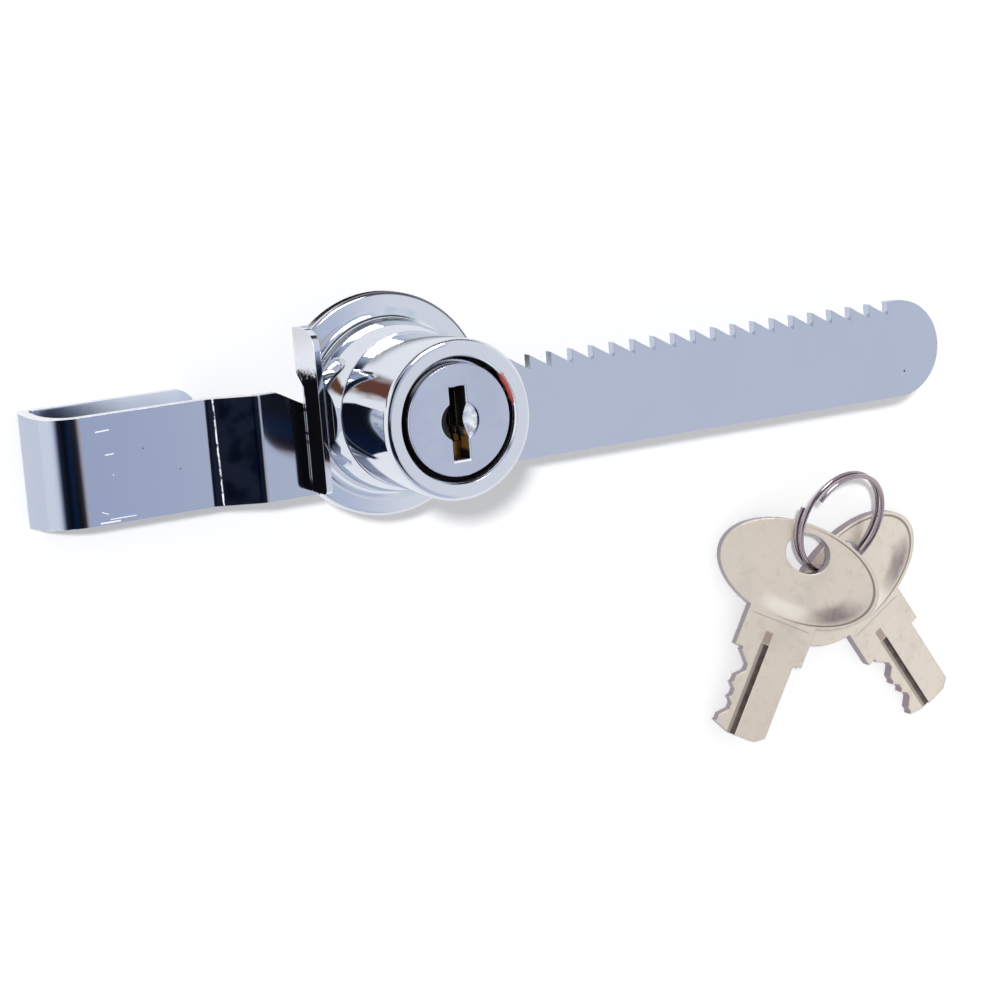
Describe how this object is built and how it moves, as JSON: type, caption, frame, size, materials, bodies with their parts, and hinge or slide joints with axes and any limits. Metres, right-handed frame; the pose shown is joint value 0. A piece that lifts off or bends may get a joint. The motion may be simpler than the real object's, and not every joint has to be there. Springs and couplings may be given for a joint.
{
  "type": "ratchet showcase lock",
  "caption": "Keyed ratchet lock on a hooked, toothed bar for sliding glass showcase doors, with keys on a split ring.",
  "frame": {"origin": "axis of the lock's cylinder at the back face of its back plate, with the lock pushed on as far as the picture shows", "axes": "+Z along the cylinder toward the person with the key, +X along the bar toward its free end, +Y toward the teeth; the object lies on its hook's rear leg, about 9.4 mm below Z = 0"},
  "size_m": [0.1541, 0.0824, 0.035],
  "materials": {
    "bar_steel": "bright chrome plate on rolled steel strip",
    "plate_steel": "bright chrome plate on pressed steel",
    "housing_zinc": "bright chrome plate on die-cast zinc",
    "sleeve_steel": "bright chrome, fine brushed front ring",
    "plug_zinc": "fine brushed face, plated",
    "wafer_brass": "stamped brass",
    "pawl_steel": "sintered steel",
    "spring_steel": "spring wire",
    "rivet_steel": "plated steel, ground flush",
    "key_nickel": "nickel plated brass, satin",
    "ring_steel": "nickel plated wire"
  },
  "bodies": {
    "bar": {"ratchet_bar": "bar_steel"},
    "lock_body": {"back_plate": "plate_steel", "housing": "housing_zinc", "cap_sleeve": "sleeve_steel", "plate_rivet_1": "rivet_steel", "plate_rivet_2": "rivet_steel", "plate_rivet_3": "rivet_steel", "pawl_spring": "spring_steel"},
    "plug_body": {"plug": "plug_zinc", "retaining_clip": "spring_steel", "wafer_spring_1": "spring_steel", "wafer_spring_2": "spring_steel", "wafer_spring_3": "spring_steel", "wafer_spring_4": "spring_steel", "wafer_spring_5": "spring_steel"},
    "pawl_body": {"pawl": "pawl_steel"},
    "ring_body": {"split_ring": "ring_steel", "key_back": "key_nickel"},
    "key_body": {"key_front": "key_nickel"},
    "wafer_body_1": {"wafer_1": "wafer_brass"},
    "wafer_body_2": {"wafer_2": "wafer_brass"},
    "wafer_body_3": {"wafer_3": "wafer_brass"},
    "wafer_body_4": {"wafer_4": "wafer_brass"},
    "wafer_body_5": {"wafer_5": "wafer_brass"}
  },
  "joints": [
    {"name": "lock_slide", "type": "slide", "parent": "bar", "child": "lock_body", "axis": [1, 0, 0], "range_m": [-0.00357, 0.08211]},
    {"name": "plug_turn", "type": "hinge", "parent": "lock_body", "child": "plug_body", "pos_m": [0, 0, 0.0256], "axis": [0, 0, -1], "range_deg": [0, 60]},
    {"name": "pawl_lift", "type": "slide", "parent": "lock_body", "child": "pawl_body", "axis": [0, 1, 0], "range_m": [0, 0.0022], "deforming": ["pawl_spring"]},
    {"name": "wafer_slide_1", "type": "slide", "parent": "plug_body", "child": "wafer_body_1", "axis": [0, 1, 0], "range_m": [0, 0.0005], "deforming": ["wafer_spring_1"]},
    {"name": "wafer_slide_2", "type": "slide", "parent": "plug_body", "child": "wafer_body_2", "axis": [0, 1, 0], "range_m": [0, 0.0005], "deforming": ["wafer_spring_2"]},
    {"name": "wafer_slide_3", "type": "slide", "parent": "plug_body", "child": "wafer_body_3", "axis": [0, 1, 0], "range_m": [0, 0.0005], "deforming": ["wafer_spring_3"]},
    {"name": "wafer_slide_4", "type": "slide", "parent": "plug_body", "child": "wafer_body_4", "axis": [0, 1, 0], "range_m": [0, 0.0005], "deforming": ["wafer_spring_4"]},
    {"name": "wafer_slide_5", "type": "slide", "parent": "plug_body", "child": "wafer_body_5", "axis": [0, 1, 0], "range_m": [0, 0.0005], "deforming": ["wafer_spring_5"]},
    {"name": "keys_lift", "type": "slide", "parent": "bar", "child": "ring_body", "axis": [0, 0, 1], "range_m": [0, 0.05]},
    {"name": "key_swing", "type": "hinge", "parent": "ring_body", "child": "key_body", "pos_m": [0.08148, -0.0311, -0.00377], "axis": [0.132, -0.3005, 0.9446], "range_deg": [-60, 0]}
  ],
  "couplings": [
    {"joint": "pawl_lift", "follows": "plug_turn", "m_per_rad": 0.0021008}
  ]
}
